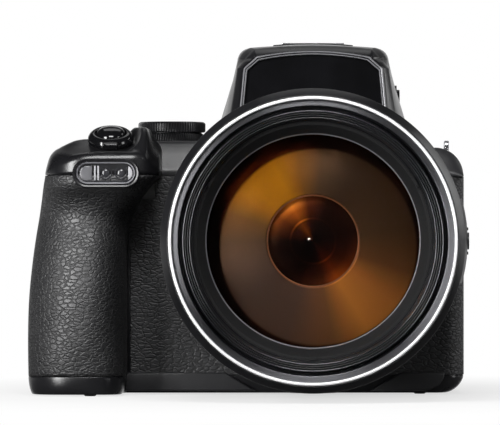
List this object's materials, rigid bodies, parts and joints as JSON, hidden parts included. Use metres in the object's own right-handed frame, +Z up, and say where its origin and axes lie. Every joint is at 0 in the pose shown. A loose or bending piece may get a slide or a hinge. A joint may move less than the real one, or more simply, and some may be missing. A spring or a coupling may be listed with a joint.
{
  "type": "bridge camera",
  "caption": "Bridge camera with a deep hand grip, a wide retracting zoom lens, viewfinder hump with lift-up flash, swing-out monitor, dials and press buttons.",
  "frame": {"origin": "axis of the tripod socket on the plane that the camera stands on", "axes": "+X towards the plain end, to the right as seen from the front; +Y from the lens to the back; +Z up"},
  "size_m": [0.1463, 0.1813, 0.1188],
  "materials": {
    "body_plastic": "fine satin texture",
    "grip_rubber": "leather-grained rubber",
    "leatherette": "leather-grained rubber",
    "eyecup_rubber": "smooth matt rubber",
    "bright_metal": "plain nickel finish",
    "lens_black": "satin black",
    "dial_plastic": "satin with knurling",
    "button_plastic": "satin",
    "silver_trim": "turned bright ring",
    "gloss_panel": "gloss black",
    "gloss_window": "gloss smoked",
    "lens_glass": "coated optical glass",
    "clear_glass": "coated optical glass",
    "flash_clear": "ribbed diffuser",
    "screen_glass": "gloss black cover glass",
    "circuit_board": "green solder mask",
    "lens_cell": "dark satin",
    "chassis_metal": "cast, satin",
    "inner_plastic": "moulded",
    "battery_wrap": "plain"
  },
  "bodies": {
    "camera_body": {"front_cover": "body_plastic", "rear_cover": "body_plastic", "top_cover": "body_plastic", "base_plate": "body_plastic", "hump_housing": "body_plastic", "grip_rubber": "grip_rubber", "leatherette_pads": "leatherette", "accessory_shoe": "bright_metal", "eyecup": "eyecup_rubber", "eyepiece_lens": "clear_glass", "evf_display": "inner_plastic", "af_window": "gloss_window", "strap_lugs": "bright_metal", "tripod_bush": "bright_metal", "case_screws": "bright_metal", "main_board": "circuit_board", "battery": "battery_wrap", "battery_case": "inner_plastic", "image_sensor": "circuit_board", "lens_chassis": "chassis_metal", "fixed_barrel": "lens_black", "zoom_motor": "bright_metal", "connector_block": "inner_plastic", "hinge_pins": "bright_metal", "front_panel": "gloss_panel"},
    "control_ring": {"control_ring": "dial_plastic"},
    "middle_stage": {"middle_barrel": "lens_black"},
    "front_stage": {"front_barrel": "lens_black", "silver_ring": "silver_trim", "lens_retainer": "lens_black", "front_lens": "lens_glass"},
    "inner_group": {"inner_lens_cell": "lens_cell", "inner_lens": "lens_glass", "iris_blades": "lens_cell"},
    "mode_dial": {"mode_dial": "dial_plastic"},
    "command_dial": {"command_dial": "dial_plastic"},
    "shutter_button": {"shutter_button": "button_plastic"},
    "zoom_lever": {"zoom_lever": "dial_plastic"},
    "power_button": {"power_button": "button_plastic"},
    "fn_button": {"fn_button": "button_plastic"},
    "side_zoom_lever": {"side_zoom_lever": "dial_plastic"},
    "snap_back_button": {"snap_back_button": "button_plastic"},
    "flash": {"flash_head": "body_plastic", "flash_window": "flash_clear"},
    "flash_release": {"flash_release": "button_plastic"},
    "diopter_dial": {"diopter_dial": "dial_plastic"},
    "monitor": {"monitor_arm": "body_plastic", "monitor_housing": "body_plastic", "screen_glass": "screen_glass"},
    "movie_button": {"movie_button": "button_plastic"},
    "af_selector": {"af_selector": "dial_plastic"},
    "ael_button": {"ael_button": "button_plastic"},
    "play_button": {"play_button": "button_plastic"},
    "menu_button": {"menu_button": "button_plastic"},
    "delete_button": {"delete_button": "button_plastic"},
    "display_button": {"display_button": "button_plastic"},
    "multi_selector": {"multi_selector": "dial_plastic"},
    "ok_button": {"ok_button": "button_plastic"},
    "battery_door": {"battery_door": "body_plastic"},
    "connector_cover": {"connector_cover": "body_plastic"}
  },
  "joints": [
    {"name": "zoom_stage_1", "type": "slide", "parent": "camera_body", "child": "middle_stage", "axis": [0, -1, 0], "range_m": [0, 0.062]},
    {"name": "zoom_stage_2", "type": "slide", "parent": "middle_stage", "child": "front_stage", "axis": [0, -1, 0], "range_m": [0, 0.062]},
    {"name": "inner_group_slide", "type": "slide", "parent": "camera_body", "child": "inner_group", "axis": [0, -1, 0], "range_m": [0, 0.01984]},
    {"name": "control_ring_turn", "type": "hinge", "parent": "camera_body", "child": "control_ring", "pos_m": [0, -0.076, 0.0515], "axis": [0, -1, 0], "continuous": true},
    {"name": "mode_dial_turn", "type": "hinge", "parent": "camera_body", "child": "mode_dial", "pos_m": [-0.048, 0.004, 0.0885], "axis": [0, 0, 1], "continuous": true},
    {"name": "command_dial_turn", "type": "hinge", "parent": "camera_body", "child": "command_dial", "pos_m": [-0.0719, 0.0258, 0.0793], "axis": [0, 0, 1], "continuous": true},
    {"name": "shutter_press", "type": "slide", "parent": "camera_body", "child": "shutter_button", "axis": [0, 0.4226, -0.9063], "range_m": [0, 0.0012], "stiffness_N_per_m": 900},
    {"name": "zoom_lever_turn", "type": "hinge", "parent": "camera_body", "child": "zoom_lever", "pos_m": [-0.067, -0.0435, 0.0842], "axis": [0, -0.4226, 0.9063], "range_deg": [-22, 22], "stiffness_Nm_per_rad": 0.05},
    {"name": "power_press", "type": "slide", "parent": "camera_body", "child": "power_button", "axis": [0, 0, -1], "range_m": [0, 0.0006], "stiffness_N_per_m": 900},
    {"name": "fn_press", "type": "slide", "parent": "camera_body", "child": "fn_button", "axis": [0, 0, -1], "range_m": [0, 0.0006], "stiffness_N_per_m": 900},
    {"name": "side_zoom_slide", "type": "slide", "parent": "camera_body", "child": "side_zoom_lever", "axis": [0, 0, 1], "range_m": [-0.0022, 0.0022], "stiffness_N_per_m": 400},
    {"name": "snap_back_press", "type": "slide", "parent": "camera_body", "child": "snap_back_button", "axis": [-1, 0, 0], "range_m": [0, 0.0006], "stiffness_N_per_m": 900},
    {"name": "flash_lift", "type": "hinge", "parent": "camera_body", "child": "flash", "pos_m": [0, -0.003, 0.1155], "axis": [-1, 0, 0], "range_deg": [0, 50]},
    {"name": "flash_release_press", "type": "slide", "parent": "camera_body", "child": "flash_release", "axis": [-1, 0, 0], "range_m": [0, 0.0006], "stiffness_N_per_m": 900},
    {"name": "diopter_turn", "type": "hinge", "parent": "camera_body", "child": "diopter_dial", "pos_m": [0.0288, 0.024, 0.098], "axis": [1, 0, 0], "range_deg": [-90, 90]},
    {"name": "monitor_swing", "type": "hinge", "parent": "camera_body", "child": "monitor", "pos_m": [0.0468, 0.033, 0.0395], "axis": [0, 0, -1], "range_deg": [0, 170]},
    {"name": "movie_press", "type": "slide", "parent": "camera_body", "child": "movie_button", "axis": [0, -1, 0], "range_m": [0, 0.0006], "stiffness_N_per_m": 900},
    {"name": "play_press", "type": "slide", "parent": "camera_body", "child": "play_button", "axis": [0, -1, 0], "range_m": [0, 0.0006], "stiffness_N_per_m": 900},
    {"name": "menu_press", "type": "slide", "parent": "camera_body", "child": "menu_button", "axis": [0, -1, 0], "range_m": [0, 0.0006], "stiffness_N_per_m": 900},
    {"name": "delete_press", "type": "slide", "parent": "camera_body", "child": "delete_button", "axis": [0, -1, 0], "range_m": [0, 0.0006], "stiffness_N_per_m": 900},
    {"name": "display_press", "type": "slide", "parent": "camera_body", "child": "display_button", "axis": [0, -1, 0], "range_m": [0, 0.0006], "stiffness_N_per_m": 900},
    {"name": "af_selector_turn", "type": "hinge", "parent": "camera_body", "child": "af_selector", "pos_m": [-0.046, 0.034, 0.064], "axis": [0, 1, 0], "range_deg": [0, 30]},
    {"name": "ael_press", "type": "slide", "parent": "camera_body", "child": "ael_button", "axis": [0, -1, 0], "range_m": [0, 0.0006], "stiffness_N_per_m": 900},
    {"name": "multi_selector_turn", "type": "hinge", "parent": "camera_body", "child": "multi_selector", "pos_m": [-0.062, 0.034, 0.032], "axis": [0, 1, 0], "continuous": true},
    {"name": "ok_press", "type": "slide", "parent": "camera_body", "child": "ok_button", "axis": [0, -1, 0], "range_m": [0, 0.0006], "stiffness_N_per_m": 900},
    {"name": "battery_door_swing", "type": "hinge", "parent": "camera_body", "child": "battery_door", "pos_m": [-0.0674, -0.0125, 0.0027], "axis": [0, -1, 0], "range_deg": [0, 95]},
    {"name": "connector_cover_swing", "type": "hinge", "parent": "camera_body", "child": "connector_cover", "pos_m": [0.0499, 0.01305, 0.041], "axis": [0, 0, -1], "range_deg": [0, 90]}
  ],
  "couplings": [
    {"joint": "zoom_stage_2", "follows": "zoom_stage_1", "ratio": 1},
    {"joint": "inner_group_slide", "follows": "zoom_stage_1", "ratio": 0.32}
  ]
}
